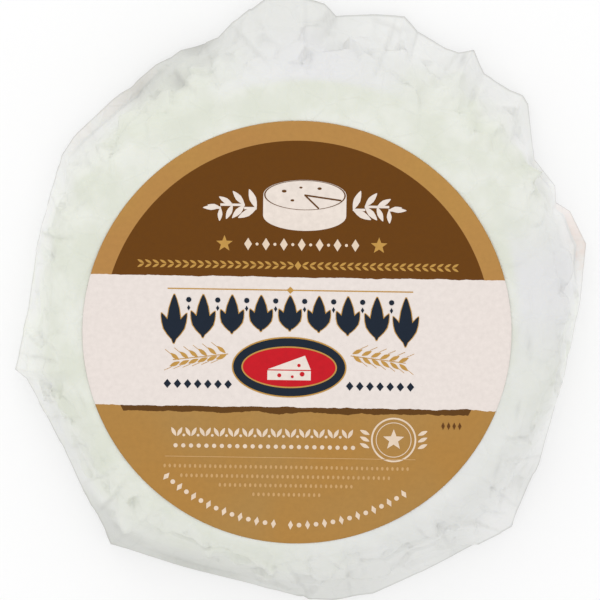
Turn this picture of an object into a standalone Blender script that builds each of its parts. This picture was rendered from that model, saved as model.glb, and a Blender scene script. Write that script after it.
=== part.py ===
"""A small brie wheel shut in its waxed paper wrap, with a round printed label on its face.

The wrapped wheel is one closed solid. Its paper lies flat on the face, turns over the wheel's
rounded rim and runs down in taut, nearly flat panels to an uneven outline of folded corners.
There it turns back under the wheel, in pleats, to the flat round foot that it rests on.
+Z is up, through the label, and +Y is the label's upper edge. The origin is on the ground, in
the middle of the wrapped wheel's width and depth.
"""
import math

import bmesh
import bpy

MM = 0.001

# The wrapped wheel, in millimetres
HEIGHT = 24.0
RIM_RADIUS = 54.0
FACE_RADIUS = 48.0
SHOULDER_DROP = 7.2
SHOULDER_REACH = 0.1
FOOT_RADIUS = 50.0
FOOT_FLAT_RADIUS = 41.0
FOOT_RISE = 0.3
FOLD_THICKNESS = 0.9
FOLD_SETBACK = 0.5

# The pleats that the paper is gathered into under the wheel
PLEATS = 24
PLEAT_DEPTH = 0.8
PLEAT_RAMP = 0.8
PLEAT_MIDWAY = 0.7

# The label, in millimetres, with its middle measured from the wheel's axis
LABEL_DIAMETER = 88.9
LABEL_THICKNESS = 0.3
LABEL_GAP = 0.3
LABEL_CENTRE = (-1.9, -3.8)
LABEL_SIDES = 120

# Corners of the folded outline, anticlockwise from the label's right-hand side:
# degrees about the wheel's axis, reach from that axis and height above the ground, in millimetres
CORNERS = (
    (11.5, 59.4, 5.0),
    (18.5, 57.9, 4.0),
    (21.0, 55.7, 3.0),
    (24.5, 56.9, 3.0),
    (31.5, 55.7, 3.0),
    (41.5, 61.5, 3.0),
    (43.5, 61.8, 3.0),
    (46.0, 60.8, 3.0),
    (52.0, 60.0, 4.0),
    (56.5, 63.0, 6.0),
    (58.5, 60.8, 4.0),
    (61.0, 60.0, 3.0),
    (67.5, 60.6, 3.0),
    (71.0, 62.5, 3.0),
    (76.0, 61.4, 3.0),
    (84.0, 59.7, 3.0),
    (86.5, 62.2, 5.0),
    (91.0, 63.4, 5.0),
    (97.5, 63.8, 5.0),
    (105.0, 60.0, 4.0),
    (108.5, 57.7, 3.0),
    (116.5, 58.3, 3.0),
    (119.0, 57.7, 3.0),
    (122.5, 58.0, 3.0),
    (134.0, 58.0, 3.0),
    (145.0, 59.1, 3.0),
    (149.5, 59.0, 3.0),
    (164.5, 57.2, 3.0),
    (181.0, 57.8, 3.0),
    (194.0, 62.4, 4.0),
    (196.5, 60.7, 3.0),
    (212.5, 59.9, 3.0),
    (224.5, 62.9, 3.0),
    (232.0, 66.1, 4.0),
    (245.5, 62.7, 3.0),
    (257.5, 61.8, 3.0),
    (269.0, 63.5, 3.0),
    (275.0, 64.2, 3.0),
    (282.5, 64.4, 3.0),
    (292.0, 63.2, 3.0),
    (308.5, 64.1, 3.0),
    (311.5, 64.5, 4.0),
    (319.5, 61.1, 3.0),
    (324.0, 59.9, 3.0),
    (345.0, 56.3, 3.0),
    (359.5, 57.1, 4.0),
)

# How finely the wrap is divided, and how sharp an edge is left unsmoothed
STATION_DEGREES = 2.5
WALL_STEPS = 9
SHARP_DEGREES = 30.0

# Colour and roughness of each paper
WAXED_PAPER = ((0.79, 0.80, 0.74), 0.45)
PRINTED_PAPER = ((0.34, 0.19, 0.07), 0.4)


def clear_scene():
    for thing in list(bpy.data.objects):
        bpy.data.objects.remove(thing, do_unlink=True)


def material(name, colour, roughness):
    made = bpy.data.materials.new(name)
    made.use_nodes = True
    shader = made.node_tree.nodes["Principled BSDF"]
    shader.inputs["Base Color"].default_value = (*colour, 1.0)
    shader.inputs["Roughness"].default_value = roughness
    shader.inputs["Metallic"].default_value = 0.0
    return made


def sides():
    """Each straight side of the outline, as its two corners with the second one's angle the larger."""
    for start, end in zip(CORNERS, CORNERS[1:] + CORNERS[:1]):
        turn = 360.0 if end[0] < start[0] else 0.0
        yield start, (end[0] + turn, end[1], end[2])


def outline_stations():
    """Angle, reach and height of the outline at every station, each side being a taut straight line."""
    stations = []
    for (first, near, low), (last, far, high) in sides():
        steps = max(1, round((last - first) / STATION_DEGREES))
        for step in range(steps):
            share = step / steps
            angle = first + (last - first) * share
            before = math.radians(angle - first)
            after = math.radians(last - angle)
            reach = near * far * math.sin(before + after) / (near * math.sin(before) + far * math.sin(after))
            stations.append((angle, reach, low + (high - low) * share))
    return stations


def bezier(points, share):
    """A point on the cubic curve through four (radius, height) control points."""
    rest = 1.0 - share
    weights = (rest ** 3, 3 * rest ** 2 * share, 3 * rest * share ** 2, share ** 3)
    return tuple(sum(w * p[axis] for w, p in zip(weights, points)) for axis in (0, 1))


def pleat_lift(angle):
    """Height of the pleated underside at an angle: a long ramp up each pleat, then a short drop."""
    phase = angle * PLEATS / 360.0 % 1.0
    if phase < PLEAT_RAMP:
        return PLEAT_DEPTH * phase / PLEAT_RAMP
    return PLEAT_DEPTH * (1.0 - phase) / (1.0 - PLEAT_RAMP)


def section(angle, reach, height, top):
    """The wrap's half section at one station, from the face's edge down, out and back to the foot."""
    shoulder = (RIM_RADIUS + (reach - RIM_RADIUS) * SHOULDER_REACH, top - SHOULDER_DROP)
    controls = ((FACE_RADIUS, top), (RIM_RADIUS, top), shoulder, (reach, height))
    points = [bezier(controls, step / WALL_STEPS) for step in range(WALL_STEPS + 1)]
    lift = pleat_lift(angle)
    points.append((reach - FOLD_SETBACK, height - FOLD_THICKNESS))
    points.append((FOOT_RADIUS, FOOT_RISE + lift))
    points.append(((FOOT_RADIUS + FOOT_FLAT_RADIUS) / 2, lift * PLEAT_MIDWAY))
    points.append((FOOT_FLAT_RADIUS, 0.0))
    return points


def box_centre(stations):
    """Middle of the outline's width and depth, measured from the wheel's axis."""
    across = [reach * math.cos(math.radians(angle)) for angle, reach, _ in stations]
    along = [reach * math.sin(math.radians(angle)) for angle, reach, _ in stations]
    return (max(across) + min(across)) / 2, (max(along) + min(along)) / 2


def loft(name, sections, angles, centre):
    """A closed mesh through the half sections that stand round the axis, with flat round ends."""
    shape = bmesh.new()
    rings = []
    for row in range(len(sections[0])):
        ring = []
        for half, angle in zip(sections, angles):
            radius, height = half[row]
            turn = math.radians(angle)
            across = radius * math.cos(turn) - centre[0]
            along = radius * math.sin(turn) - centre[1]
            ring.append(shape.verts.new((across * MM, along * MM, height * MM)))
        rings.append(ring)
    count = len(angles)
    for upper, lower in zip(rings, rings[1:]):
        for near in range(count):
            far = (near + 1) % count
            shape.faces.new((upper[near], lower[near], lower[far], upper[far]))
    shape.faces.new(rings[0])
    shape.faces.new(list(reversed(rings[-1])))
    mesh = bpy.data.meshes.new(name)
    shape.to_mesh(mesh)
    shape.free()
    return mesh


def wrapped_wheel(collection, stations, centre):
    top = HEIGHT - LABEL_THICKNESS - LABEL_GAP
    angles = [angle for angle, _, _ in stations]
    sections = [section(angle, reach, height, top) for angle, reach, height in stations]
    mesh = loft("paper_wrap", sections, angles, centre)
    wrap = bpy.data.objects.new("paper_wrap", mesh)
    mesh.materials.append(material("waxed_paper", *WAXED_PAPER))
    mesh.shade_smooth()
    mesh.set_sharp_from_angle(angle=math.radians(SHARP_DEGREES))
    collection.objects.link(wrap)


def label(collection, centre):
    bpy.ops.mesh.primitive_cylinder_add(
        vertices=LABEL_SIDES,
        radius=LABEL_DIAMETER / 2 * MM,
        depth=LABEL_THICKNESS * MM,
        location=(
            (LABEL_CENTRE[0] - centre[0]) * MM,
            (LABEL_CENTRE[1] - centre[1]) * MM,
            (HEIGHT - LABEL_THICKNESS / 2) * MM,
        ),
    )
    disc = bpy.context.active_object
    disc.name = "label"
    disc.data.materials.append(material("printed_paper", *PRINTED_PAPER))
    disc.data.shade_smooth()
    disc.data.set_sharp_from_angle(angle=math.radians(SHARP_DEGREES))
    for holder in list(disc.users_collection):
        holder.objects.unlink(disc)
    collection.objects.link(disc)


def main():
    clear_scene()
    collection = bpy.data.collections.new("brie_wheel")
    bpy.context.scene.collection.children.link(collection)
    stations = outline_stations()
    centre = box_centre(stations)
    wrapped_wheel(collection, stations, centre)
    label(collection, centre)


main()
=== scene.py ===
# %% [markdown]
# # A small brie in its paper
# A brie wheel about as wide as a hand is long, shut in white waxed paper with a round printed label.
# The solid model gives every size. This lesson dresses it: first the paper skin, then the label and
# what is printed on it, then the finishes, and at the end the floor, the lights and the camera.

# %% Load the solid model
import math
import random
from functools import partial

import bmesh
import bpy
import numpy as np
from mathutils import Matrix, Vector


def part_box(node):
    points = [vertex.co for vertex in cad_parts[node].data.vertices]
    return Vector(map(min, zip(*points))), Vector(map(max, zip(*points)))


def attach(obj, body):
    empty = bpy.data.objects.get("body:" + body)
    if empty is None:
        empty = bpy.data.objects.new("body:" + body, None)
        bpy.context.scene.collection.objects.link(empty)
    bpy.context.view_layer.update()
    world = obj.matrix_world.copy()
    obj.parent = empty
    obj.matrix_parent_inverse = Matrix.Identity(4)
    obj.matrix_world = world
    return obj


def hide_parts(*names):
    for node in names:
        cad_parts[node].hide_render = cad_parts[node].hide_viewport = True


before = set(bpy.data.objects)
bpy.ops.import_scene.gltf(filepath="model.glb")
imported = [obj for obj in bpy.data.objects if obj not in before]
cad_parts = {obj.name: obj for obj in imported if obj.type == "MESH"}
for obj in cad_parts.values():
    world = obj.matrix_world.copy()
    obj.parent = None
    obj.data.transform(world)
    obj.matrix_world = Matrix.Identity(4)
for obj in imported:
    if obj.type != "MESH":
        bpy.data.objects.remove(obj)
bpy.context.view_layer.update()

# %% [markdown]
# ## Units
# Packaging is measured in millimetres and Blender works in metres. Every size below is in
# millimetres and each finished mesh is scaled once, by MM, on its way into the scene.

# %% Millimetres, and small helpers for numbers
MM = 0.001
random_draw = random.Random(7)


def smoothstep(low, high, value):
    """0 below low, 1 above high and an even S-curve between, for numbers and arrays."""
    share = np.clip((value - low) / (high - low), 0.0, 1.0)
    return share * share * (3.0 - 2.0 * share)


# %% [markdown]
# ## What the wrap's outline is
# A flat sheet laid over a round wheel has spare paper all round. It is folded down the side and
# tucked under, and each tuck leaves a corner that pokes out near the ground. The solid model has
# those corners, so they are read from its mesh and not listed again: the vertices fall into
# stations round the wheel's axis, and the one that reaches furthest at each is on the outline.

# %% Read the wheel's axis, its flat face and its outline from the solid
wrap_points = np.array([vertex.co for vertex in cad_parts["paper_wrap"].data.vertices]) / MM
TOP = wrap_points[:, 2].max()
face_edge = wrap_points[wrap_points[:, 2] > TOP - 0.01][:, :2]


def circle_through(points):
    """Middle and radius of the circle that fits the points best."""
    rows = np.c_[2.0 * points, np.ones(len(points))]
    x, y, rest = np.linalg.lstsq(rows, (points ** 2).sum(axis=1), rcond=None)[0]
    return np.array([x, y]), math.sqrt(rest + x * x + y * y)


AXIS, FACE_RADIUS = circle_through(face_edge)


def outline_stations(points, axis):
    """Angle in degrees, reach and height of the outermost point at each station."""
    away = points[:, :2] - axis
    angle = np.degrees(np.arctan2(away[:, 1], away[:, 0])) % 360.0
    radius = np.hypot(away[:, 0], away[:, 1])
    order = np.argsort(angle)
    groups = np.split(order, np.flatnonzero(np.diff(angle[order]) > 0.1) + 1)
    furthest = [group[np.argmax(radius[group])] for group in groups]
    return angle[furthest], radius[furthest], points[furthest, 2]


station_angle, station_reach, station_height = outline_stations(wrap_points, AXIS)
print(f"axis {AXIS.round(2)} mm, face radius {FACE_RADIUS:.1f} mm, {len(station_angle)} stations")

# %% [markdown]
# ## The paper as a grid
# The whole skin is one sheet of squares: rows run from the middle of the face, over the rim, down
# the side, round the lower fold and back to the middle of the underside, and 720 columns go round.
# Half a degree between columns is half a millimetre at the rim, fine enough for a crisp crease,
# and every corner of the outline falls exactly on a column. Arrays of radius and height for
# each row and column are worked out first, and one spun mesh is moved to them at the end.

# %% Columns round the wheel and rows along the paper
COLUMNS = 720
RIM_RADIUS = 54.0
SHOULDER_REACH = 0.1
SHOULDER_FALL = 7.2
FACE_TOP = TOP + 0.2
FOOT_RADIUS = 50.0
FACE_RINGS = (0.0, 8.0, 16.0, 24.0, 32.0, 38.0, 41.0)
WALL_ROWS = 54
TUCK_ROWS = 9
FOOT_ROWS = 26

degrees = np.arange(COLUMNS) * 360.0 / COLUMNS
turn = np.radians(degrees)
reach = np.interp(degrees, station_angle, station_reach, period=360.0)
height = np.interp(degrees, station_angle, station_height, period=360.0)


def bezier(share, *controls):
    """A cubic curve's value at a share of its length, from four numbers or arrays."""
    rest = 1.0 - share
    a, b, c, d = controls
    return rest ** 3 * a + 3 * rest ** 2 * share * b + 3 * rest * share ** 2 * c + share ** 3 * d


# %% [markdown]
# ## Hems
# In a few places the paper doesn't run straight down to the outline. It meets a crease beside the
# wheel and then stands out flat as a narrow hem, with a line of painted shade where it turns. Each
# hem is named by the angles it runs between, its width, how far its edge lifts, and how much of the
# pinkish tone of doubled paper it has. It is widest in the middle and dies away at both ends, as a
# real fold does.

# %% Where the hems are
HEMS = (
    # from degrees, to degrees, width mm, lift mm, pinkish tone
    (120, 149, 2.6, 0.8, 0.22),
    (1, 21.5, 2.3, 1.1, 0.85),
    (21.5, 34.5, 1.1, 0.4, 0),
    (232.5, 262, 1.3, 0.3, 0),
)
HEM_SHARE = 0.84
HEM_CREASE_RISE = 0.4

hems = np.zeros((4, COLUMNS))
for start, end, *amounts in HEMS:
    inside = np.sqrt(np.sin(np.pi * np.clip((degrees - start) / (end - start), 0.0, 1.0)))
    hems = np.maximum(hems, np.outer((1.0, *amounts), inside))
hem, hem_width, hem_lift, hem_tone = hems
print(f"{len(HEMS)} hems cover {int((hem > 0.5).sum() / 2)} degrees of the outline")


def wall_row(share):
    """Radius and height all round at a share of the way down the side, hems included."""
    rim = RIM_RADIUS + (reach - RIM_RADIUS) * SHOULDER_REACH
    plain_r = bezier(share, FACE_RADIUS, RIM_RADIUS, rim, reach)
    plain_z = bezier(share, FACE_TOP, FACE_TOP, FACE_TOP - SHOULDER_FALL, height)
    crease_r, crease_z = reach - hem_width, height + HEM_CREASE_RISE
    if share < HEM_SHARE:
        down = share / HEM_SHARE
        hemmed_r = bezier(down, FACE_RADIUS, RIM_RADIUS, RIM_RADIUS + 0.2, crease_r)
        hemmed_z = bezier(down, FACE_TOP, FACE_TOP, FACE_TOP - SHOULDER_FALL, crease_z)
    else:
        out = (share - HEM_SHARE) / (1.0 - HEM_SHARE)
        hemmed_r = crease_r + (reach - crease_r) * out
        hemmed_z = crease_z + (height + hem_lift - crease_z) * out
    return plain_r + (hemmed_r - plain_r) * hem, plain_z + (hemmed_z - plain_z) * hem


# %% [markdown]
# ## Pleats under the wheel
# The photograph can't show the underside, so it is finished as such paper usually is: gathered in
# overlapping pleats that turn slightly as they run in to the middle. Each pleat is a long ramp and
# a short drop. The lowest line of every pleat lies on the ground and the rest stands up from it.

# %% The pleated underside
PLEATS = 24
PLEAT_RAMP = 0.86
PLEAT_TWIST = 1.6
PLEAT_DEPTH = 0.85


def pleat_phase(radius):
    """Place across its own pleat, 0 to 1, of every column at a radius."""
    wander = 0.35 * np.sin(3.0 * turn + 1.0) + 0.18 * np.sin(7.0 * turn + 0.4)
    return (degrees * PLEATS / 360.0 + wander + PLEAT_TWIST * (1.0 - radius / FOOT_RADIUS)) % 1.0


def pleat(radius):
    """Height of the pleats above the ground all round, at one radius or one radius per column."""
    phase = pleat_phase(radius)
    ramp = np.where(phase < PLEAT_RAMP, phase / PLEAT_RAMP, (1.0 - phase) / (1.0 - PLEAT_RAMP))
    depth = PLEAT_DEPTH * (0.25 + 0.75 * smoothstep(4.0, FOOT_RADIUS, radius))
    return depth * ramp


def underside_rise(radius):
    """How far the underside curves up from the ground towards the rim, without its pleats."""
    return 0.3 * smoothstep(40.0, FOOT_RADIUS, radius)


# %% Stack the rows
FOLD_STEPS = ((0.06, 0.15), (0.02, 0.38), (-0.28, 0.55))
# A row on the face lies before the side starts, so its way down is below 0: -1 at this many mm in.
FACE_LEAD = 24.0

radius_rows, height_rows, way_down = [], [], []


def add_row(radius, level, down):
    """Keeps one row: radius and height at each column, and how far down the side it is: below 0 on
    the face, 0 to 1 on the side and 2 under the wheel."""
    radius_rows.append(np.broadcast_to(np.asarray(radius, float), COLUMNS))
    height_rows.append(np.broadcast_to(np.asarray(level, float), COLUMNS))
    way_down.append(down)


for ring in (*FACE_RINGS, *np.linspace(42.5, FACE_RADIUS, 9)):
    add_row(ring, FACE_TOP, (ring - FACE_RADIUS) / FACE_LEAD)
for step in range(1, WALL_ROWS + 1):
    add_row(*wall_row(step / WALL_ROWS), step / WALL_ROWS)
edge_height = height_rows[-1]
for out, below in FOLD_STEPS:
    add_row(reach + out, edge_height - below, 1.0)
tuck_start_r, tuck_start_z = radius_rows[-1], height_rows[-1]
for step in range(1, TUCK_ROWS + 1):
    inwards = step / TUCK_ROWS
    r = tuck_start_r + (FOOT_RADIUS - tuck_start_r) * inwards
    z = tuck_start_z + (underside_rise(FOOT_RADIUS) + pleat(FOOT_RADIUS) - tuck_start_z) * inwards
    add_row(r, z, 2.0)
for step in range(1, FOOT_ROWS + 1):
    ring = FOOT_RADIUS * (1.0 - step / FOOT_ROWS)
    add_row(ring, underside_rise(ring) + pleat(ring) * smoothstep(0.0, 3.0, ring), 2.0)

R = np.array(radius_rows)
Z = np.array(height_rows)
DOWN = np.array(way_down)[:, None]
in_view = DOWN <= 1.0
print(f"{R.shape[0]} rows by {R.shape[1]} columns")

# %% [markdown]
# ## Folds and creases
# Pulled paper makes straight creases. A fold here is a line on the side, from one angle and share
# of the way down to another, with a width and a height. A ridge stands out, a valley sinks in, and
# a step is the edge of a layer that lies over the next: a long rise, then a sudden drop, to the
# other side where its width is negative. The named folds are the ones that show most on this wheel.
# Shallow pleats all round and small folds between them are drawn at random with a seed.
# Each fold also leaves a thin line of painted shade where light is lost between its layers.

# %% Fold lines
FOLDS = (
    # kind, angle and share at the top, angle and share at the bottom, width mm, height mm, painted
    # shade
    ("valley", 113, 0.6, 113.5, 1, 4, 1.1, 0),
    ("step", 115.5, 0.16, 119, 0.8, 5, 0.9, 0.2),
    ("ridge", 108.6, 0.3, 108.6, 1, 1.6, 0.6, 0),
    ("step", 98, 0.3, 105, 1, 6, 0.8, 0.15),
    ("valley", 88.2, 0.5, 84, 1, 1.8, 1, 0.4),
    ("ridge", 91.5, 0.3, 89, 1, 3, 0.6, 0),
    ("valley", 76.5, 0.45, 76, 1, 2.4, 0.5, 0.1),
    ("ridge", 71.5, 0.2, 71, 1, 3, 0.5, 0),
    ("valley", 67.6, 0.6, 67.5, 1, 1.2, 0.6, 0.4),
    ("ridge", 59.5, 0.1, 56.5, 1, 2.4, 0.9, 0),
    ("valley", 60.9, 0.45, 58.6, 1, 1.8, 0.8, 0.4),
    ("step", 49.5, 0.15, 53, 1, 6.5, 0.7, 0.1),
    ("ridge", 44, 0.15, 43, 1, 2.6, 0.7, 0),
    ("valley", 35, 0.2, 31.5, 1, 3, 0.8, 0.2),
    ("ridge", 24.6, 0.35, 24.6, 1, 2, 0.4, 0),
    ("step", 329.5, -0.05, 328.5, 0.6, 3.2, 0.5, 0.2),
    ("valley", 345, 0.3, 346, 1, 3, 0.5, 0.1),
    ("ridge", 316, 0.1, 312.5, 1, 3, 0.8, 0),
    ("step", 304, 0.25, 309, 1, 7, 0.8, 0.3),
    ("valley", 292, 0.3, 292, 1, 4, 0.6, 0.1),
    ("ridge", 275, 0.2, 275.5, 1, 3.6, 0.6, 0),
    ("step", 265, 0.3, 270, 1, 6, 0.7, 0.3),
    ("valley", 250, 0.2, 256, 1, 4, 0.6, 0.1),
    ("ridge", 231, 0, 232, 1, 3.2, 1, 0),
    ("step", 222.5, 0.15, 226, 1, 6.5, 0.8, 0.2),
    ("valley", 213, 0.3, 211, 1, 3, 0.5, 0.1),
    ("ridge", 193.2, 0.1, 194, 1, 2.2, 0.9, 0),
    ("valley", 194.8, 0.25, 206, 0.9, 2.4, 0.8, 0.05),
    ("valley", 183, 0.3, 181, 1, 3.4, 0.5, 0.1),
    ("step", 161, 0.1, 165.5, 0.95, 6, 0.7, 0.2),
    ("valley", 156.5, 0.2, 155, 1, 2.6, 0.6, 0.1),
    ("ridge", 150.5, 0.1, 149.5, 1, 3, 0.7, 0),
    ("ridge", 133, 0.1, 134, 0.8, 3.4, 0.6, 0),
)
SIDE_PLEATS = 23
SIDE_PLEAT_RISE = 0.55
# Painted shade along the lines of the side pleats and of the small folds.
SIDE_PLEAT_SHADE = 0.2
SMALL_FOLDS = 96
SMALL_FOLD_SHADE = 0.06
STEP_EDGE = 0.4
# Width of the painted shade line beside a step's drop, and as a share of a fold's width.
STEP_LINE = 0.3
LINE_SHARE = 0.22


def fold_over_grid(kind, top_angle, top_share, end_angle, end_share, width, rise, tone):
    """Height of one fold over the whole grid, and the line of painted shade that it leaves."""
    along = (DOWN - top_share) / (end_share - top_share)
    line = top_angle + (end_angle - top_angle) * along
    across = np.radians((degrees[None, :] - line + 180.0) % 360.0 - 180.0) * R
    if kind == "step":
        across = across * math.copysign(1.0, width)
        width = abs(width)
        shape = np.where(across < 0.0, 1.0 + across / width, 1.0 - across / STEP_EDGE)
    else:
        shape = 1.0 - np.abs(across) / width
    fade = smoothstep(-0.1, 0.35, along) * (1.0 - smoothstep(0.96, 1.08, along))
    sign = -1.0 if kind == "valley" else 1.0
    # The line of painted shade runs down the fold's middle, or just beyond a step's drop.
    beside = across - (STEP_EDGE if kind == "step" else 0.0)
    line_width = STEP_LINE if kind == "step" else width * LINE_SHARE
    line = tone * np.exp(-((beside / line_width) ** 2)) * fade * smoothstep(0.2, 0.9, along)
    return sign * rise * np.clip(shape, 0.0, 1.0) * fade, line


folds = list(FOLDS)
for index in range(SIDE_PLEATS):
    angle = (index + random_draw.uniform(-0.3, 0.3)) * 360.0 / SIDE_PLEATS
    lean = random_draw.uniform(-3.0, 3.0)
    start = random_draw.uniform(0.0, 0.3)
    width = random_draw.uniform(4.0, 9.0) * random_draw.choice((-1.0, 1.0))
    folds.append(("step", angle, start, angle + lean, 1.0, width, SIDE_PLEAT_RISE, SIDE_PLEAT_SHADE))
for _ in range(SMALL_FOLDS):
    kind = random_draw.choice(("ridge", "valley", "valley", "step"))
    angle = random_draw.uniform(0.0, 360.0)
    lean = random_draw.gauss(0.0, 3.5)
    start = random_draw.uniform(-0.12, 0.55)
    end = random_draw.choice((1.0, 1.0, random_draw.uniform(0.6, 0.95)))
    width = random_draw.uniform(0.9, 4.2)
    rise = random_draw.uniform(0.08, 0.32)
    end = max(end, start + 0.3)
    folds.append((kind, angle, start, angle + lean, end, width, rise, SMALL_FOLD_SHADE))

relief = np.zeros_like(R)
painted_shade_lines = np.zeros_like(R)
for fold in folds:
    rise_here, tone_here = fold_over_grid(*fold)
    relief += rise_here
    painted_shade_lines += tone_here
print(f"{len(FOLDS)} named folds, {SIDE_PLEATS} side pleats and {SMALL_FOLDS} small folds")

# %% [markdown]
# ## Dents and pockets
# Some marks aren't long folds: a pocket where the edge of the paper gapes, a short dent over the
# rim, a crease that runs across a fold. Each is a soft oval seen from above, with its place, its
# length and width, the way it points and how deep it is. A negative depth makes a small bump. Each
# also darkens the paper's colour by its tone, as painted shade in its hollow.

# %% Dents
DENTS = (
    # degrees, radius mm, length mm, width mm, pointing degrees, depth mm, painted shade
    (113, 57.8, 7.5, 1.4, 17, 0.9, 0.95),
    (118.6, 54.6, 4.6, 2, 12, 0.9, 0.65),
    (124, 54.6, 8, 4, 32, 0.2, 0.25),
    (115, 53.8, 2.2, 1.8, 20, -0.6, 0),
    (103.8, 58.6, 5, 1.1, 62, 0.6, 0.25),
    (86.4, 59.6, 4, 1.1, 35, 0.6, 0.45),
    (73, 60.3, 9, 0.8, 341, 0.4, 0.3),
    (57.4, 60.6, 3, 1, 75, 0.7, 0.6),
    (49, 56, 8, 1.6, 315, 0.5, 0.1),
    (27.5, 54.6, 9.5, 1, 300, 0.5, 0.3),
    (329.3, 51.5, 6.5, 0.9, 356, 0.35, 0.3),
    (352, 46.6, 6, 0.9, 274, 0.3, 0.35),
    (335.5, 48.3, 5, 0.9, 262, 0.3, 0.3),
    (320.5, 51.4, 5.5, 0.9, 250, 0.3, 0.3),
    (230.6, 61.2, 5.5, 1.2, 318, 0.5, 0.3),
    (176.5, 47.4, 4, 0.8, 85, 0.25, 0.3),
    (201.4, 50, 4.5, 0.9, 115, 0.3, 0.25),
    (168, 54, 6, 1.2, 75, 0.4, 0.15),
    (148, 52, 7, 1.4, 60, 0.4, 0.1),
    (285, 55, 9, 1.3, 12, 0.45, 0.15),
    (300, 53, 7, 1.2, 35, 0.4, 0.15),
    (255, 55, 8, 1.3, 345, 0.45, 0.15),
    (215, 55, 8, 1.3, 300, 0.4, 0.15),
)

plan_x, plan_y = R * np.cos(turn), R * np.sin(turn)
for angle, radius, long, wide, pointing, depth, tone in DENTS:
    dx = plan_x - radius * math.cos(math.radians(angle))
    dy = plan_y - radius * math.sin(math.radians(angle))
    c, s = math.cos(math.radians(pointing)), math.sin(math.radians(pointing))
    along, aside = (dx * c + dy * s) / (long / 2.0), (dy * c - dx * s) / (wide / 2.0)
    oval = np.exp(-(along ** 2 + aside ** 2)) * in_view
    relief -= depth * oval
    # Painted shade in the dent's hollow.
    painted_shade_lines += tone * oval
print(f"{len(DENTS)} dents and bumps")

# %% [markdown]
# ## Crumple
# Handled paper also breaks into small flat facets. Seeds are scattered over the skin and each owns
# the paper nearest to it, tilted its own way. Where two facets meet the paper blends from one tilt
# to the other, which leaves a soft crease. The side is crumpled most and the face hardly at all.

# %% Facets from scattered seeds
SEEDS = 520
SEED_SPREAD = 0.5
FACET_TILT = 0.1

X = AXIS[0] + R * np.cos(turn)
Y = AXIS[1] + R * np.sin(turn)
skin = np.stack([X, Y, Z], axis=-1)
seed_rows = [random_draw.randrange(14, R.shape[0] - 6) for _ in range(SEEDS)]
seed_columns = [random_draw.randrange(COLUMNS) for _ in range(SEEDS)]
seeds = skin[seed_rows, seed_columns]
tilts = np.array([[random_draw.gauss(0.0, FACET_TILT) for _ in range(3)] for _ in range(SEEDS)])


def facets(points):
    """Height of the facets at one row of points, blended over SEED_SPREAD mm where two meet."""
    away = points[:, None, :] - seeds[None, :, :]
    distance = np.linalg.norm(away, axis=2)
    nearest = np.argsort(distance, axis=1)[:, :2]
    index = np.arange(len(points))[:, None]
    near, far = distance[index, nearest].T
    level = (away[index, nearest] * tilts[nearest]).sum(axis=2)
    share = 0.5 + 0.5 * smoothstep(0.0, SEED_SPREAD, far - near)
    return level[:, 0] * share + level[:, 1] * (1.0 - share)


crumple = np.array([facets(row) for row in skin])
print(f"facets stand within {np.abs(crumple).max():.2f} mm")

# %% [markdown]
# ## The face of the wheel
# A brie's rind stands up a little round the rim, and its face is never quite flat. One function
# gives the paper's height anywhere on the face, because the label lies on the same surface.

# %% Height of the face
label_low, label_high = (np.array(corner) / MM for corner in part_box("label"))
LABEL_CENTRE = (label_low + label_high)[:2] / 2.0
LABEL_RADIUS = (label_high - label_low)[0] / 2.0
CREST_RADIUS = 49.6
CREST_WIDTH = 2.3
CREST_HEIGHT = 0.22


def face_rise(x, y):
    """The rind's shallow waves and its raised rim, in mm above FACE_TOP."""
    waves = 0.05 * np.sin(x / 13.0 + 0.8) * np.cos(y / 17.0 - 0.4) + 0.03 * np.sin((x + y) / 15.0)
    ring = np.hypot(x - AXIS[0], y - AXIS[1])
    return waves + CREST_HEIGHT * np.exp(-(((ring - CREST_RADIUS) / CREST_WIDTH) ** 2))


print(f"label of radius {LABEL_RADIUS:.2f} mm centred at {LABEL_CENTRE.round(2)} mm")

# %% [markdown]
# ## Put the relief on the skin
# Folds and crumple push the paper along its own normal, found from how the rows run. They stop
# short of the label, which holds the paper flat under it, and of the outline, which stays taut.

# %% Move the rows along their normals
FACE_CRUMPLE = 0.15
SIDE_CRUMPLE = 1.25
FOOT_CRUMPLE = 0.2
TAUT_EDGE = 0.85

slope_r = np.gradient(R, axis=0)
slope_z = np.gradient(Z, axis=0)
length = np.hypot(slope_r, slope_z) + 1e-9
normal_r, normal_z = -slope_z / length, slope_r / length

from_label = np.hypot(X - LABEL_CENTRE[0], Y - LABEL_CENTRE[1]) - LABEL_RADIUS
free = smoothstep(0.2, 3.0, from_label)
taut = 1.0 - TAUT_EDGE * smoothstep(0.72, 1.0, DOWN)
taut = taut * (1.0 - TAUT_EDGE * hem * smoothstep(0.55, 0.75, DOWN))
side_crumple = FACE_CRUMPLE + SIDE_CRUMPLE * smoothstep(0.0, 0.4, DOWN)
crumple_share = np.where(in_view, side_crumple, FOOT_CRUMPLE)
push = (np.where(in_view, relief * free, 0.0) + crumple * crumple_share * free * (R > 2.0)) * taut
upper = (DOWN < 0.45) & (R < RIM_RADIUS + 1.0)
rind = np.where(upper, face_rise(X, Y), 0.0) * (1.0 - smoothstep(0.2, 0.42, DOWN))
R_out = R + normal_r * push
Z_out = np.maximum(Z + normal_z * push + rind, 0.0)
grid = np.stack([AXIS[0] + R_out * np.cos(turn), AXIS[1] + R_out * np.sin(turn), Z_out], axis=-1)
print(f"skin stands {Z_out.max():.2f} mm high")
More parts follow.
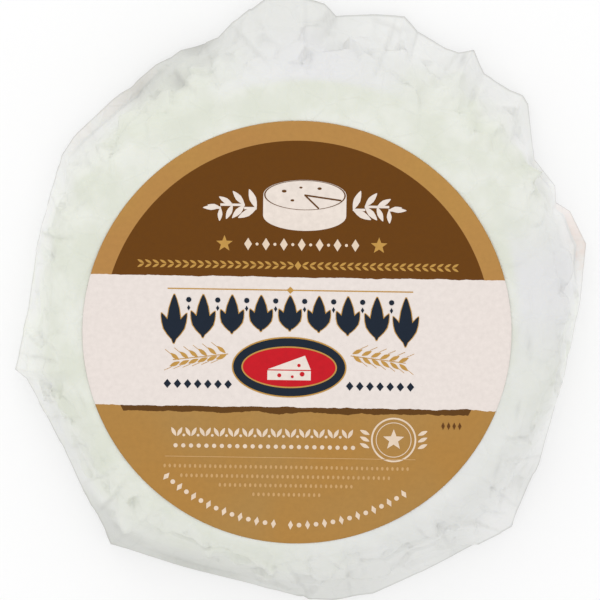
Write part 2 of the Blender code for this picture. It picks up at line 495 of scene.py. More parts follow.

# %% [markdown]
# ## Spin a mesh and lay it on the rows
# A straight line of vertices, one for each row, is spun round the axis into a flat disc of squares.
# Its radius then counts the rows and its angle the columns, so each vertex can be told where to
# go. Six numbers go with every vertex for the finish: how far the paper stands clear of the cheese
# on the side (loose) and on the face (lifted), where painted shade darkens the side (shaded), where
# the side still clings (clinging), how much of a hem's pinkish tone it has, and how much painted
# shade lies in its folds, dents, hem creases, pleats and along its edge (crease).


# %% A helper that spins a disc and moves it to a grid of points
def spun_skin(points, marks=None):
    """A closed bmesh whose rows and columns lie on points[row, column], with float marks by name."""
    rows, columns = points.shape[:2]
    shape = bmesh.new()
    line = [shape.verts.new((float(row), 0.0, 0.0)) for row in range(rows)]
    edges = [shape.edges.new(pair) for pair in zip(line, line[1:])]
    bmesh.ops.spin(shape, geom=line + edges, cent=(0, 0, 0), axis=(0, 0, 1), angle=math.tau,
                   steps=columns, use_merge=True, use_duplicate=False)
    bmesh.ops.remove_doubles(shape, verts=shape.verts[:], dist=1e-4)
    layers = {name: shape.verts.layers.float.new(name) for name in (marks or {})}
    for vertex in shape.verts:
        x, y = vertex.co.x, vertex.co.y
        row = round(math.hypot(x, y))
        column = round(math.atan2(y, x) / math.tau * columns) % columns
        vertex.co = points[row, column]
        for name, layer in layers.items():
            vertex[layer] = marks[name][row, column]
    bmesh.ops.remove_doubles(shape, verts=shape.verts[:], dist=1e-3)
    bmesh.ops.recalc_face_normals(shape, faces=shape.faces[:])
    return shape


def as_object(shape, name):
    """Makes a bmesh an object in the scene."""
    mesh = bpy.data.meshes.new(name)
    shape.to_mesh(mesh)
    shape.free()
    made = bpy.data.objects.new(name, mesh)
    bpy.context.scene.collection.objects.link(made)
    return made


def finish_piece(shape, name, replaced=None, smooth=True):
    """Scales a bmesh from mm, makes it a piece that rides on the body, and hides the solid part it
    replaces.
    """
    bmesh.ops.scale(shape, vec=(MM, MM, MM), verts=shape.verts[:])
    piece = as_object(shape, name)
    if smooth:
        piece.data.shade_smooth()
    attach(piece, "root")
    if replaced:
        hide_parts(replaced)
    print(f"{name}: {len(piece.data.vertices)} vertices, {len(piece.data.polygons)} faces")
    return piece


# %% Make the paper skin
LIFTED_ZONES = (
    # degrees, spread in degrees, from radius mm, how much
    (305, 60, 20, 0.75),
    (88, 26, 49, 1),
    (8, 16, 44, 0.8),
)
# Zones of painted shade, where the side's colour darkens.
PAINTED_SHADE_ZONES = (
    (95, 28, 52, 0.62),
    (122, 10, 51, 0.8),
    (146, 6, 54, 0.35),
    (212, 12, 54.5, 0.4),
    (229, 9, 60, 0.7),
    (301, 5, 55, 0.35),
    (320, 5, 55, 0.35),
    (118, 9, 54, 0.6),
    (246, 15, 52, 0.75),
    (272, 26, 52, 0.78),
    (48, 16, 53, 0.3),
    (322, 20, 53, 0.1),
)
CLINGING_ZONES = (
    (174, 22, 50, 0.9),
    (224, 16, 50, 0.9),
    (350, 13, 48, 0.9),
)
# Painted shade, as darker paper colour: along the outline's edge, at each underside pleat's drop and in
# a hem's crease.
EDGE_PAINTED_SHADE = 0.75
EDGE_ROW = 0.985
PLEAT_PAINTED_SHADE = 0.6
HEM_PAINTED_SHADE = 0.38
SOFTENING = 0.06


def zones(table):
    """Adds up soft zones round the wheel, each from a radius outwards."""
    total = np.zeros_like(R)
    for angle, spread, inner, amount in table:
        from_middle = (degrees - angle + 180.0) % 360.0 - 180.0
        outside = smoothstep(inner - 1.5, inner + 1.5, R)
        total += amount * np.exp(-((from_middle / spread) ** 2)) * outside
    return np.clip(total, 0.0, 1.0)


looseness = np.broadcast_to(smoothstep(0.35, 0.95, DOWN), R.shape)
in_hem = np.where((DOWN > HEM_SHARE + 0.02) & in_view, hem_tone[None, :], 0.0)
# Painted shade along the crease where a hem turns.
hem_crease_shade = np.exp(-(((DOWN - HEM_SHARE) / 0.02) ** 2)) * np.clip(hem_width, 0.0, 2.0) / 2.0
# How much painted shade darkens the side all round.
painted_shade_amount = zones(PAINTED_SHADE_ZONES)
# Painted shade on the last row of the side, darker in the zones of painted shade.
painted_edge_shade = EDGE_PAINTED_SHADE * (1.0 + painted_shade_amount) * ((DOWN > EDGE_ROW) & in_view)
# Painted shade at the drop of each pleat, under the wheel only.
painted_pleat_shade = np.array([np.exp(-(((pleat_phase(row.mean()) - PLEAT_RAMP) / 0.07) ** 2)) for row in R])
painted_pleat_shade = PLEAT_PAINTED_SHADE * painted_pleat_shade * ~in_view
# All lines of painted shade together, kept off the paper under the label.
creases = np.clip(painted_shade_lines + HEM_PAINTED_SHADE * hem_crease_shade + painted_edge_shade + painted_pleat_shade, 0.0, 1.0) * free
marks = {"loose": looseness, "lifted": zones(LIFTED_ZONES), "shaded": painted_shade_amount,
         "clinging": zones(CLINGING_ZONES), "hem": in_hem, "crease": creases}
skin_mesh = spun_skin(grid, marks)
upper_verts = [vertex for vertex in skin_mesh.verts if vertex.co.z > 0.6]
bmesh.ops.smooth_vert(skin_mesh, verts=upper_verts, factor=SOFTENING,
                      use_axis_x=True, use_axis_y=True, use_axis_z=True)
wrap_piece = finish_piece(skin_mesh, "paper_skin", "paper_wrap")

# %% [markdown]
# ## The label's sheet
# The label is a disc of printed paper about as thick as a card, stuck to the face. It follows the
# face and its edge lifts a hair in places, which draws the thin shadow round it. It is spun the
# same way: over the top, round the edge and back underneath.

# %% Label surface and sheet
SHEET = 0.16
GLUE_GAP = 0.03
CURL = 0.22
CURL_WIDTH = 6.0
LABEL_COLUMNS = 240
TOP_RINGS = (0, 6, 12, 18, 24, 30, 34, 38, 40, 42, 43.4)
UNDER_RINGS = (42, 36, 24, 12, 0)


def label_top(x, y):
    """Height of the label's printed surface in mm."""
    away = np.hypot(x - LABEL_CENTRE[0], y - LABEL_CENTRE[1])
    bearing = np.arctan2(y - LABEL_CENTRE[1], x - LABEL_CENTRE[0])
    waves = 0.35 + 0.45 * np.sin(2.0 * bearing + 0.9) + 0.3 * np.sin(5.0 * bearing)
    curl = CURL * np.clip(waves, 0.0, 1.0) * smoothstep(LABEL_RADIUS - CURL_WIDTH, LABEL_RADIUS, away)
    return FACE_TOP + face_rise(x, y) + GLUE_GAP + SHEET + curl


def label_grid():
    """Points of the label's closed sheet, row by row."""
    around = np.arange(LABEL_COLUMNS) * math.tau / LABEL_COLUMNS
    outwards = [(ring, 0.0) for ring in TOP_RINGS]
    edge = [(LABEL_RADIUS - 0.08, 0.0), (LABEL_RADIUS, 0.05), (LABEL_RADIUS - 0.02, SHEET)]
    inwards = [(ring, SHEET) for ring in UNDER_RINGS]
    rows = []
    for ring, below in outwards + edge + inwards:
        x = LABEL_CENTRE[0] + ring * np.cos(around)
        y = LABEL_CENTRE[1] + ring * np.sin(around)
        rows.append(np.stack([x, y, label_top(x, y) - below], axis=-1))
    return np.array(rows)


label_piece = finish_piece(spun_skin(label_grid()), "label_sheet", "label")

# %% [markdown]
# ## Printing
# The label's large fields are flat colours: a gold ring round a dark brown half, a cream band and a
# tan half. The finish paints those. The small printed marks are shapes: stars, leaves, lozenges,
# dots and bars. Each is a flat face made by an operator, placed in the label's own millimetres
# with its middle at zero, and at the end every colour is given a hair of thickness and laid on the
# label. One bmesh for each colour of ink keeps the pieces few.

# %% Inks and the shapes they print
INK = 0.03
LAYER = 0.022
PRINT_TURN = math.radians(-0.9)
INK_COLOURS = {
    "cream": "E8DCD2",
    "straw": "E4CFB8",
    "gold": "BF9248",
    "navy": "14202F",
    "red": "C4101F",
    "brown": "613B12",
    "pale": "C9A06A",
}
STAGGER = 5

inks = {name: bmesh.new() for name in INK_COLOURS}
layers_of = {name: ink.verts.layers.float.new("layer") for name, ink in inks.items()}
drawn = dict.fromkeys(INK_COLOURS, 0)


def place(ink_name, verts, at, size, spin, layer):
    """Sizes, turns and moves new vertices, and remembers their layer; overlapping shapes stagger."""
    ink = inks[ink_name]
    drawn[ink_name] += 1
    stagger = drawn[ink_name] % STAGGER / STAGGER
    bmesh.ops.scale(ink, vec=(size[0], size[1], 1.0), verts=verts)
    bmesh.ops.rotate(ink, cent=(0, 0, 0), matrix=Matrix.Rotation(spin, 3, "Z"), verts=verts)
    bmesh.ops.translate(ink, vec=(at[0], at[1], 0.0), verts=verts)
    for vertex in verts:
        vertex[layers_of[ink_name]] = layer + stagger


def blob(ink_name, at, size, spin=0.0, sides=20, layer=0, rings=0):
    """A disc, an oval or, with few sides, a lozenge; rings divides a large one so that it can bend."""
    ink = inks[ink_name]
    verts = set(bmesh.ops.create_circle(ink, cap_ends=True, segments=sides, radius=1.0)["verts"])
    middle = next(iter(verts)).link_faces[:]
    for _ in range(rings):
        around = bmesh.ops.inset_region(ink, faces=middle, thickness=0.9 / (rings + 1),
                                        use_even_offset=True)
        verts.update(vertex for face in around["faces"] for vertex in face.verts)
    place(ink_name, list(verts), at, size, spin, layer)


def leaf(ink_name, at, size, spin=0.0, layer=0):
    """A pointed leaf along its own x axis; size is its half length and half width."""
    verts = bmesh.ops.create_circle(inks[ink_name], cap_ends=True, segments=14, radius=1.0)["verts"]
    for vertex in verts:
        vertex.co.y *= 1.0 - 0.55 * abs(vertex.co.x) ** 1.5
    place(ink_name, verts, at, size, spin, layer)


def star(ink_name, at, radius):
    """A five-pointed star standing on two points."""
    verts = bmesh.ops.create_circle(inks[ink_name], cap_ends=True, segments=10, radius=1.0)["verts"]
    for vertex in verts[1::2]:
        vertex.co *= 0.42
    upright = math.pi / 2 - math.atan2(verts[0].co.y, verts[0].co.x)
    place(ink_name, verts, at, (radius, radius), upright, 0)


def bar(ink_name, at, size, spin=0.0, layer=0):
    """A straight bar; size is its length and thickness."""
    verts = bmesh.ops.create_grid(inks[ink_name], x_segments=12, y_segments=1, size=0.5)["verts"]
    place(ink_name, verts, at, size, spin, layer)


def ring_line(ink_name, at, radius, thickness, squash=1.0, layer=0):
    """A thin ring, from two circles bridged to each other."""
    ink = inks[ink_name]
    verts = []
    for size in (radius, radius - thickness):
        verts += bmesh.ops.create_circle(ink, cap_ends=False, segments=64, radius=size)["verts"]
    bmesh.ops.bridge_loops(ink, edges=list({edge for vertex in verts for edge in vertex.link_edges}))
    place(ink_name, verts, at, (1.0, squash), 0.0, layer)


def row_of_blobs(ink_name, count, first, step, level, size, sides):
    """A level row of blobs, from the place of the first one."""
    for index in range(count):
        blob(ink_name, (first + index * step, level), size, sides=sides)


# %% [markdown]
# ### The brown half
# A cream ornament fills the upper field: a small wheel of cheese with a wedge cut out of it, between
# two leafy sprays. Under it run a row of lozenges between two stars, and a gold garland.

# %% Wheel and sprays
ORNAMENT = (1.2, 27.0)


def spray(ink_name, root, length, lean, side, pairs, leaf_size):
    """Leaf pairs along a bowed stem that starts at root and runs to one side."""
    step = length / (pairs - 1)
    for index in range(pairs):
        share = index / (pairs - 1)
        angle = lean * (0.35 - share) * side
        x = root[0] + side * length * share
        y = root[1] + lean * 3.0 * (0.25 - (share - 0.5) ** 2)
        size = (leaf_size[0] * (1.0 - 0.35 * share), leaf_size[1] * (1.0 - 0.3 * share))
        for wing in (-1, 1):
            tilt = angle + (0.85 * wing if side > 0 else math.pi - 0.85 * wing)
            reach_out = Vector((math.cos(tilt), math.sin(tilt))) * size[0]
            leaf(ink_name, (x + reach_out.x, y + reach_out.y), size, tilt)
        bar(ink_name, (x + side * step / 2, y), (step * 1.05, 0.5))
    tip = root[0] + side * length * 1.12
    leaf(ink_name, (tip + side * leaf_size[0] * 0.5, y), (leaf_size[0] * 0.8, leaf_size[1] * 0.7))


def little_wheel(at, half_width, squash, depth):
    """A wheel of cheese seen from above its edge, with one wedge gone."""
    half_height = half_width * squash
    blob("cream", (at[0], at[1] - depth), (half_width, half_height), sides=48, rings=2)
    bar("cream", (at[0], at[1] - depth / 2), (half_width * 2.0, depth))
    blob("cream", at, (half_width, half_height), sides=48, layer=1, rings=4)
    ring_line("brown", at, half_width - 0.15, 0.3, squash, layer=2)
    for angle in (-1.2, -0.35):
        cut_x, cut_y = half_width * math.cos(angle), half_height * math.sin(angle)
        middle = (at[0] + 0.46 * cut_x, at[1] + 0.46 * cut_y)
        bar("brown", middle, (0.95 * math.hypot(cut_x, cut_y), 0.34), math.atan2(cut_y, cut_x), layer=2)
    for dx, dy, r in ((-0.5, 0.25, 0.5), (-0.1, 0.5, 0.34), (-0.3, -0.35, 0.4), (0.35, 0.45, 0.45)):
        hole = (at[0] + dx * half_width, at[1] + dy * half_height)
        blob("brown", hole, (r, r * 0.6), sides=14, layer=2)


little_wheel((ORNAMENT[0], ORNAMENT[1] + 1.9), 8.6, 0.37, 4.3)
for side in (-1, 1):
    spray("cream", (ORNAMENT[0] + side * 10.0, ORNAMENT[1] - 1.0), 7.4, 1.0, side, 4, (2.15, 0.72))
print("little wheel and sprays drawn in cream")

# %% Row of lozenges, stars and garland
ROW_HEIGHT = 18.5
ROW_MIDDLE = 0.7
LOZENGES = 7
LOZENGE_STEP = 3.7
for side in (-1, 1):
    star("gold", (ROW_MIDDLE + side * 16.0, ROW_HEIGHT), 1.8)
for index in range(LOZENGES):
    x = ROW_MIDDLE + (index - LOZENGES // 2) * LOZENGE_STEP
    blob("straw", (x, ROW_HEIGHT), (0.8, 1.3), sides=4)
    if index < LOZENGES - 1:
        blob("straw", (x + LOZENGE_STEP / 2, ROW_HEIGHT), (0.32, 0.32), sides=12)

GARLAND_HEIGHT = 14.1
GARLAND_HALF = 32.6
GARLAND_STEP = 1.55
for side in (-1, 1):
    for index in range(1, int(GARLAND_HALF / GARLAND_STEP) + 1):
        x = side * index * GARLAND_STEP
        for wing in (-1, 1):
            leaf("gold", (x, GARLAND_HEIGHT + wing * 0.42), (0.78, 0.27), side * wing * 0.5)
blob("gold", (0.0, GARLAND_HEIGHT), (0.7, 0.95), sides=4)
print("lozenges, stars and garland drawn")

# %% [markdown]
# ### The cream band
# A gold rule crosses the top of the band. Under it stands a frieze of navy sprigs whose feet follow
# an arch, over a red oval with a wedge of cheese on it and an ear of wheat at each side.

# %% Rule and frieze
BAND_MIDDLE = -1.5
RULE_HEIGHT = 8.9
bar("gold", (BAND_MIDDLE, RULE_HEIGHT), (50.8, 0.24))
blob("gold", (BAND_MIDDLE, RULE_HEIGHT), (0.75, 0.75), sides=4)

FRIEZE_TOP = 7.7
FRIEZE_HALF = 24.0
FRIEZE_SPRIGS = 9


def arch(x):
    """Lower edge of the frieze: highest in the middle."""
    return 0.3 - 3.0 * (x / FRIEZE_HALF) ** 2


def sprig(x, foot, head):
    """One upright sprig: a tall leaf and two side leaves, each with a gold edge under it."""
    tall = head - foot
    middle = (BAND_MIDDLE + x, (head + foot) / 2.0)
    parts = [(middle, (tall / 2.0, 1.35), math.pi / 2)]
    for wing in (-1, 1):
        side_at = (middle[0] + wing * 1.35, foot + tall * 0.34)
        parts.append((side_at, (tall * 0.3, 0.85), math.pi / 2 - wing * 0.42))
    for at, size, spin in parts:
        leaf("gold", at, (size[0] + 0.22, size[1] + 0.2), spin)
        leaf("navy", at, size, spin, layer=1)


SPRIG_STEP = 2.0 * FRIEZE_HALF / (FRIEZE_SPRIGS - 1)
for index in range(FRIEZE_SPRIGS):
    x = (index - (FRIEZE_SPRIGS - 1) / 2.0) * SPRIG_STEP
    sprig(x, arch(x), FRIEZE_TOP)
    if index < FRIEZE_SPRIGS - 1:
        gap = BAND_MIDDLE + x + SPRIG_STEP / 2.0
        blob("navy", (gap, FRIEZE_TOP - 1.1), (0.55, 0.55), sides=16, layer=1)
        blob("navy", (gap, FRIEZE_TOP - 2.8), (0.35, 0.6), sides=4, layer=1)
print("frieze drawn in navy and gold")

# %% Oval with a wedge, and ears of wheat
OVAL = (BAND_MIDDLE, -7.3)
OVAL_SIZE = (11.9, 6.4)
OVAL_RINGS = (("gold", 0.0, 0), ("navy", 0.3, 1), ("gold", 2.0, 2), ("red", 2.3, 3))
for ink_name, inset, layer in OVAL_RINGS:
    blob(ink_name, OVAL, (OVAL_SIZE[0] - inset, OVAL_SIZE[1] - inset), sides=72, layer=layer, rings=4)


def wedge(at, half_width, half_height):
    """A wedge of cheese seen from its side: a slanting top over a straight cut face, with holes."""
    verts = bmesh.ops.create_circle(inks["cream"], cap_ends=True, segments=4, radius=1.0)["verts"]
    corners = ((-1.0, -0.15), (0.72, 1.0), (1.0, -0.15), (0.0, -0.15))
    for vertex, corner in zip(verts, corners):
        vertex.co.x, vertex.co.y = corner
    place("cream", verts, at, (half_width, half_height), 0.0, 4)
    bar("cream", (at[0], at[1] - half_height * 0.62), (half_width * 2.0, half_height * 0.76), layer=4)
    for dx, dy, r in ((-0.45, -0.62, 0.42), (0.15, -0.72, 0.3), (0.6, -0.5, 0.5), (0.45, 0.2, 0.36)):
        hole = (at[0] + dx * half_width, at[1] + dy * half_height)
        blob("red", hole, (r, r), sides=16, layer=5)


wedge((OVAL[0], OVAL[1] - 0.1), 4.5, 2.6)


def wheat(root, side, grains, length):
    """An ear of wheat lying outwards from the oval."""
    for index in range(grains):
        share = index / (grains - 1)
        x = root[0] + side * length * share
        y = root[1] - 1.6 * share
        for wing in (-1, 1):
            tilt = -0.12 * side + wing * 0.55
            leaf("gold", (x + side * 0.5, y + wing * 0.78), (1.15, 0.42), tilt * side)
            bar("gold", (x + side * 1.9, y + wing * 1.75), (1.7, 0.1), tilt * side)
    bar("gold", (root[0] + side * length * 0.5, root[1] - 0.8), (length * 1.2, 0.16), -0.12 * side)


for side in (-1, 1):
    wheat((BAND_MIDDLE + side * 13.6, -4.6), side, 6, 9.6)
    row_of_blobs("navy", 7, BAND_MIDDLE + side * 12.6, side * 2.1, -11.1, (0.78, 0.95), 4)
print("oval, wedge and wheat drawn")

# %% [markdown]
# ### The tan half
# Pairs of small cream leaves run across the lower field beside a star in two rings, with rows of
# fine beads under them. A curved row of lozenges follows the label's edge.

# %% Lower field
LEAF_PAIRS = 13
LEAF_STEP = 2.95
BEAD_STEP = 1.05
BEAD_ROWS = ((-28.4, 26.0), (-30.4, 22.5), (-32.3, 14.5), (-34.2, 7.5))
for index in range(LEAF_PAIRS):
    x = -24.6 + index * LEAF_STEP
    for wing in (-1, 1):
        leaf("straw", (x + wing * 0.62, -21.2), (1.05, 0.4), math.pi / 2 - wing * 0.5)
    if index < LEAF_PAIRS - 1:
        blob("straw", (x + 1.48, -21.9), (0.3, 0.3), sides=10)
row_of_blobs("straw", 24, -24.8, 1.6, -24.1, (0.46, 0.46), 10)
bar("pale", (-1.0, -26.4), (52.0, 0.16))
for level, half in BEAD_ROWS:
    row_of_blobs("pale", int(half * 2.0 / BEAD_STEP), -half - 1.0, BEAD_STEP, level, (0.27, 0.42), 8)

RINGED_STAR = (20.4, -22.3)
ring_line("straw", RINGED_STAR, 4.7, 0.36)
ring_line("straw", RINGED_STAR, 3.7, 0.16)
star("straw", RINGED_STAR, 2.3)
for side in (-1, 1):
    for level in (-1.3, 0.1, 1.5):
        leaf("straw", (RINGED_STAR[0] + side * 6.0, RINGED_STAR[1] + level), (1.1, 0.42), side * 0.45)
row_of_blobs("brown", 4, 30.6, 1.15, -19.2, (0.36, 0.8), 4)

EDGE_RING = 40.6
EDGE_MARKS = 15
for first, last in ((-131.0, -96.0), (-91.0, -56.0)):
    for index in range(EDGE_MARKS):
        angle = math.radians(first + (last - first) * index / (EDGE_MARKS - 1))
        size, sides = ((0.98, 0.52), 4) if index % 2 == 0 else ((0.5, 0.5), 12)
        blob("straw", (EDGE_RING * math.cos(angle), EDGE_RING * math.sin(angle)), size, angle, sides)
print("lower field drawn")

# %% [markdown]
# ### Lay the inks on the label
# Each colour's flat faces are given the thickness of an ink film, turned with the label, and every
# vertex is set on the label's surface at its own layer.


# %% Thickness and drape
def lay_ink(name):
    """Makes one colour's shapes into thin plates on the label and finishes them as a piece."""
    ink, layer = inks[name], layers_of[name]
    raised = bmesh.ops.extrude_face_region(ink, geom=ink.faces[:])["geom"]
    lifted = {item for item in raised if isinstance(item, bmesh.types.BMVert)}
    spin = Matrix.Rotation(PRINT_TURN, 3, "Z")
    for vertex in ink.verts:
        at = spin @ Vector((vertex.co.x, vertex.co.y, 0.0))
        x, y = at.x + LABEL_CENTRE[0], at.y + LABEL_CENTRE[1]
        rise = vertex[layer] * LAYER + (INK if vertex in lifted else -0.01)
        vertex.co = (x, y, float(label_top(x, y)) + rise)
    bmesh.ops.recalc_face_normals(ink, faces=ink.faces[:])
    return finish_piece(ink, name + "_ink", smooth=False)


ink_pieces = {name: lay_ink(name) for name in inks}

# %% [markdown]
# ## Finishes
# Colours are written as the sRGB hex codes a designer would read off a swatch, and one function
# turns them into the linear values that Blender works in. One small function adds a node with its
# settings and links, and every material below is built with it. Two finishes need the same few
# nodes more than once, so those have a helper each: coordinates in millimetres, and a mottled colour.


# %% Colour and node helpers
def linear(code, alpha=1.0):
    """An sRGB hex code such as F0E6D8 as linear RGBA."""
    parts = [int(code[index:index + 2], 16) / 255.0 for index in (0, 2, 4)]
    curve = [part / 12.92 if part <= 0.04045 else ((part + 0.055) / 1.055) ** 2.4 for part in parts]
    return (*curve, alpha)


def fill_in(node, **values):
    """Sets a node's own settings, which have lower-case names, and sets or links its inputs, named
    by their labels with _ for a space, or by i and a number."""
    for name, value in values.items():
        key = int(name[1:]) if name[1:].isdigit() else name.replace("_", " ")
        if hasattr(node, name):
            setattr(node, name, value)
        elif isinstance(value, bpy.types.NodeSocket):
            node.id_data.links.new(value, node.inputs[key])
        else:
            node.inputs[key].default_value = value


def add_node(tree, kind, out=0, **values):
    """Adds a node to a tree, sets and links it, and gives back the output that is wanted from it."""
    made = tree.nodes.new("ShaderNode" + kind)
    fill_in(made, **values)
    return made.outputs[out]


def new_material(name):
    """A principled material, add_node for its own tree, and its shader."""
    made = bpy.data.materials.new(name)
    made.use_nodes = True
    tree = made.node_tree
    return made, partial(add_node, tree), tree.nodes["Principled BSDF"]


def millimetres(add, centre, spin=0.0):
    """The piece's own coordinates in mm, from a centre and turned by spin."""
    position = add("TexCoord", "Object")
    return add("Mapping", vector_type="TEXTURE", Vector=position, Scale=(MM, MM, MM),
               Location=(centre[0] * MM, centre[1] * MM, 0.0), Rotation=(0.0, 0.0, spin))


def mottled(add, colour, noise, darkest, lightest):
    """A colour that a noise makes a little darker and lighter, as paper and ink are when seen close."""
    tone = add("MapRange", Value=noise, From_Min=0.25, From_Max=0.75, To_Min=darkest, To_Max=lightest)
    grey = add("CombineXYZ", X=tone, Y=tone, Z=tone)
    return add("VectorMath", operation="MULTIPLY", i0=colour, i1=grey)


# %% [markdown]
# ### Waxed paper
# Cheese paper is thin white paper with a film of wax. Where it lies against the rind the wax makes
# it a little see-through, so it takes a faint yellow-green from the cheese. Where it stands clear
# it is a cooler, greyer white, and hems of doubled paper look slightly pink. On the side the white
# is lighter, partly as painted light, and painted shade darkens it in zones. Its sheen is soft. The
# numbers stored on the mesh choose between those tones, broken up by noise, and paint shade into
# the creases.

# %% Waxed paper
paper, add, shader = new_material("waxed_cheese_paper")
in_mm = millimetres(add, AXIS)
loose, lifted, shaded, clinging, hem_mark, painted_crease_shade = (
    add("Attribute", "Fac", attribute_name=name) for name in marks)
# Damp patches where the paper clings to the rind are 6 to 12 mm across.
patches = add("TexNoise", Vector=in_mm, Scale=0.11, Detail=3.0, Roughness=0.55)
# Pulp clouds in thin paper are about 1.5 mm across.
clouds = add("TexNoise", Vector=in_mm, Scale=0.65, Detail=2.0, Roughness=0.6)
# Fibres are far finer than a pixel, so they are drawn at 0.35 mm to show at all.
fibres = add("TexNoise", Vector=in_mm, Scale=2.8, Detail=2.0, Roughness=0.7)

# Over the rind the tone follows the damp patches, and on the side it follows the zones as well; the
# side's lighter white is partly painted light.
cling = add("MapRange", Value=patches, From_Min=0.38, From_Max=0.62)
over_rind = add("Mix", 2, data_type="RGBA", i0=cling, i6=linear("DCDFD2"), i7=linear("E3E5DB"))
cling_share = add("Math", operation="MULTIPLY", i0=clinging, i1=cling)
# Painted light: the side is a lighter white than the face, partly whiter doubled paper and partly
# making up for the less light that reaches it.
side_with_painted_light = add("Mix", 2, data_type="RGBA", i0=cling_share, i6=linear("F1F1F0"), i7=linear("EDF0E3"))
# Painted shade: in the shaded zones the side darkens towards D2D3CE.
side_painted_light_and_shade = add("Mix", 2, data_type="RGBA", i0=shaded, i6=side_with_painted_light, i7=linear("D2D3CE"))

# The patches also make the edges of the zones wander.
wander = add("Math", operation="MULTIPLY_ADD", i0=patches, i1=0.8, i2=-0.4)
loose_edge = add("Math", operation="ADD", use_clamp=True, i0=loose, i1=wander)
lifted_edge = add("Math", operation="MULTIPLY_ADD", use_clamp=True, i0=lifted, i1=1.6, i2=wander)
lifted_share = add("Math", operation="MULTIPLY", i0=lifted_edge, i1=lifted)
hem_break = add("MapRange", Value=patches, From_Min=0.47, From_Max=0.56, To_Min=0.1, To_Max=0.95)
hem_share = add("Math", operation="MULTIPLY", i0=hem_mark, i1=hem_break)
# Painted shade: the crease mark darkens the paper towards AFAFAA.
painted_crease_share = add("Math", operation="MULTIPLY", i0=painted_crease_shade, i1=0.55)

# Lifted paper, the side, doubled hems and the painted shade in the folds are laid over that tone in
# turn.
paper_tone = over_rind
for share, colour in ((lifted_share, linear("E0E0E0")), (loose_edge, side_painted_light_and_shade),
                      (hem_share, linear("EFE2DC")), (painted_crease_share, linear("AFAFAA"))):
    paper_tone = add("Mix", 2, data_type="RGBA", i0=share, i6=paper_tone, i7=colour)

sheen = add("MapRange", Value=clouds, From_Min=0.3, From_Max=0.7, To_Min=0.36, To_Max=0.5)
pulp = add("Bump", Height=fibres, Strength=0.16, Distance=0.00005)
# Handling leaves a net of fine straight creases in the wax, 4 to 9 mm apart and 0.1 mm high.
crease_net = add("TexVoronoi", "Distance", feature="DISTANCE_TO_EDGE", Vector=in_mm, Scale=0.17)
net_line = add("MapRange", interpolation_type="SMOOTHSTEP", Value=crease_net, From_Max=0.07,
               To_Min=1.0, To_Max=0.0)
net_share = add("Math", operation="MULTIPLY", i0=net_line, i1=patches)
creased_pulp = add("Bump", Height=net_share, Strength=0.5, Distance=0.0002, Normal=pulp)
fill_in(shader, Base_Color=mottled(add, paper_tone, clouds, 0.985, 1.01), Roughness=sheen,
        Normal=creased_pulp, IOR=1.44, Subsurface_Weight=0.1, Subsurface_Radius=(1.0, 0.9, 0.7),
        Subsurface_Scale=0.0012)
wrap_piece.data.materials.append(paper)
print("waxed paper ready")

# %% [markdown]
# ### Printed label paper
# Coated label stock with offset ink: satin, even, with crisp edges between the colours. The masks
# are plain geometry in the label's own millimetres, which a texture mapping gives by undoing the
# label's place, its slight turn and the millimetre scale. The cream band looks torn from a strip of
# paper, so its edges wander by a few tenths of a millimetre and it drops a dark brown shadow.

# %% Printed label
INNER_RING = 40.3
BAND_TOP = 11.5
BAND_BOTTOM = -15.9
SHADOW_DROP = 1.25
SHADOW_HALF = 36.3
SHADOW_SLANT = 0.5

stock, add, shader = new_material("printed_label_stock")
local = millimetres(add, LABEL_CENTRE, PRINT_TURN)
across = add("SeparateXYZ", "X", Vector=local)
along = across.node.outputs["Y"]
flat = add("CombineXYZ", X=across, Y=along)
distance = add("VectorMath", "Value", operation="LENGTH", i0=flat)


def torn(level, seed, slow, quick):
    """Height of a torn edge along the label: a level with slow and quick wander, in mm."""
    edge = level - slow / 2.0
    for rate, detail, wander_height in ((0.16, 1.0, slow), (0.7, 2.0, quick)):
        way = add("Math", operation="MULTIPLY_ADD", i0=across, i1=rate, i2=seed)
        noise = add("TexNoise", noise_dimensions="1D", W=way, Scale=1.0, Detail=detail)
        edge = add("Math", operation="MULTIPLY_ADD", i0=noise, i1=wander_height, i2=edge)
    return edge


upper_edge = torn(BAND_TOP, 3.0, 0.5, 0.25)
lower_edge = torn(BAND_BOTTOM, 8.0, 0.6, 0.3)
shadow_edge = torn(BAND_BOTTOM - SHADOW_DROP, 15.0, 0.9, 0.4)
in_upper = add("Math", operation="GREATER_THAN", i0=along, i1=upper_edge)
in_lower = add("Math", operation="LESS_THAN", i0=along, i1=lower_edge)
past_ring = add("Math", operation="GREATER_THAN", i0=distance, i1=INNER_RING)
in_ring = add("Math", operation="MULTIPLY", i0=in_upper, i1=past_ring)
# The shadow hangs under the band and its ends slant in with the tear.
side_distance = add("Math", operation="ABSOLUTE", i0=across)
slanted = add("Math", operation="MULTIPLY_ADD", i0=along, i1=-SHADOW_SLANT, i2=side_distance)
slanted_end = SHADOW_HALF - SHADOW_SLANT * BAND_BOTTOM
between_ends = add("Math", operation="LESS_THAN", i0=slanted, i1=slanted_end)
above_edge = add("Math", operation="GREATER_THAN", i0=along, i1=shadow_edge)
hanging = add("Math", operation="MULTIPLY", i0=in_lower, i1=above_edge)
in_shadow = add("Math", operation="MULTIPLY", i0=hanging, i1=between_ends)

drift = add("TexNoise", Vector=local, Scale=0.05, Detail=1.0)
drift_share = add("MapRange", Value=drift, From_Min=0.35, From_Max=0.65)
gold, tan = (add("Mix", 2, data_type="RGBA", i0=drift_share, i6=linear(one), i7=linear(other))
             for one, other in (("B58847", "B38347"), ("AA8247", "AE803F")))
fields = linear("E7DDD7")
for mask, colour in ((in_upper, linear("663B00")), (in_ring, gold), (in_lower, tan),
                     (in_shadow, linear("5F3C10"))):
    fields = add("Mix", 2, data_type="RGBA", i0=mask, i6=fields, i7=colour)
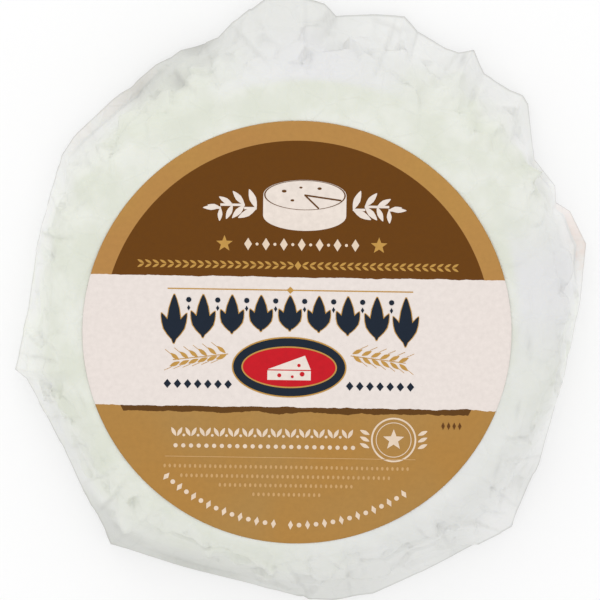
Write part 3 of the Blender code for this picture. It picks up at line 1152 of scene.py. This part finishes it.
# Solid ink on paper is slightly mottled, with grains of about 1 mm.
mottle = add("TexNoise", Vector=local, Scale=1.0, Detail=3.0, Roughness=0.6)
satin = add("MapRange", Value=mottle, From_Min=0.3, From_Max=0.7, To_Min=0.42, To_Max=0.52)
grain = add("Bump", Height=mottle, Strength=0.12, Distance=0.00004)
fill_in(shader, Base_Color=mottled(add, fields, mottle, 0.95, 1.04), Roughness=satin, Normal=grain,
        IOR=1.45, Specular_IOR_Level=0.18)
label_piece.data.materials.append(stock)
print("label stock ready")

# %% [markdown]
# ### Inks
# The marks are printed with the same satin ink as the fields. Each takes its own colour with the
# same fine mottle, so that a mark doesn't look cut from plastic.

# %% Ink materials
# The mottle is about 1 mm across: 900 of the noise's steps to a metre.
for name, piece in ink_pieces.items():
    ink_paint, add, shader = new_material("offset_" + piece.name)
    position = add("TexCoord", "Object")
    mottle = add("TexNoise", Vector=position, Scale=900.0, Detail=2.0)
    colour = mottled(add, linear(INK_COLOURS[name])[:3], mottle, 0.93, 1.05)
    fill_in(shader, Base_Color=colour, Roughness=0.46, IOR=1.45, Specular_IOR_Level=0.18)
    piece.data.materials.append(ink_paint)
print(f"{len(ink_pieces)} inks ready")

# %% [markdown]
# ## Floor, light and camera
# The wheel lies on a plain white light table under soft studio light. The table glows a little, as
# it does for pack shots, so that the wheel's shadow stays faint. Most of the light comes evenly from
# all round, and one large softbox stands beyond the label's upper edge.

# %% Floor
floor_shape = bmesh.new()
bmesh.ops.create_grid(floor_shape, x_segments=4, y_segments=4, size=1.5)
floor = as_object(floor_shape, "floor")
floor_paint, _, shader = new_material("white_light_table")
fill_in(shader, Base_Color=linear("C4C4C4"), Emission_Color=linear("FFFFFF"), Emission_Strength=0.42,
        Roughness=0.9)
floor.data.materials.append(floor_paint)

# %% Lights
world = bpy.data.worlds.new("studio")
world.use_nodes = True
fill_in(world.node_tree.nodes["Background"], Color=(1.0, 1.0, 1.0, 1.0), Strength=0.955)
bpy.context.scene.world = world
AIM = Vector((0.0, 0.0, 0.01))


def softbox(name, at, size, power):
    """A square area light at a place in metres, pointing at the wheel."""
    light = bpy.data.lights.new(name, "AREA")
    light.shape = "SQUARE"
    light.size = size
    light.energy = power
    lamp = bpy.data.objects.new(name, light)
    lamp.location = at
    lamp.rotation_euler = (AIM - Vector(at)).to_track_quat("-Z", "Y").to_euler()
    bpy.context.scene.collection.objects.link(lamp)


softbox("key_softbox", (-0.12, 0.75, 0.62), 0.55, 1.0)
softbox("top_softbox", (0.0, 0.1, 1.2), 0.9, 0.4)
print("two softboxes and an even sky")

# %% [markdown]
# The picture was taken with a long lens, ten degrees off the vertical on the side of the label's
# upper edge. The camera stands three metres off, so that the wheel shows almost no perspective, and
# the lens is chosen so that the 600 pixel frame covers 125.2 mm of floor. The middle of the frame
# is a little off the wheel's axis, by FRAME_OFFSET in millimetres.

# %% Camera
TILT = math.radians(10.0)
CAMERA_FAR = 3.0
FRAME_WIDTH = 0.12522
SENSOR = 36.0
FRAME_OFFSET = (-1.27, -1.13)
LOOK_AT = Vector((AXIS[0] + FRAME_OFFSET[0], AXIS[1] + FRAME_OFFSET[1], 0.0)) * MM

camera_data = bpy.data.cameras.new("camera")
camera_data.sensor_width = SENSOR
camera_data.lens = SENSOR * CAMERA_FAR / FRAME_WIDTH
camera_data.clip_end = 20.0
camera = bpy.data.objects.new("camera", camera_data)
camera.location = LOOK_AT + Vector((0.0, math.sin(TILT), math.cos(TILT))) * CAMERA_FAR
camera.rotation_euler = (-TILT, 0.0, 0.0)
bpy.context.scene.collection.objects.link(camera)
bpy.context.scene.camera = camera
bpy.context.scene.view_settings.view_transform = "Standard"
print(f"camera {CAMERA_FAR} m off with a {camera_data.lens:.0f} mm lens")
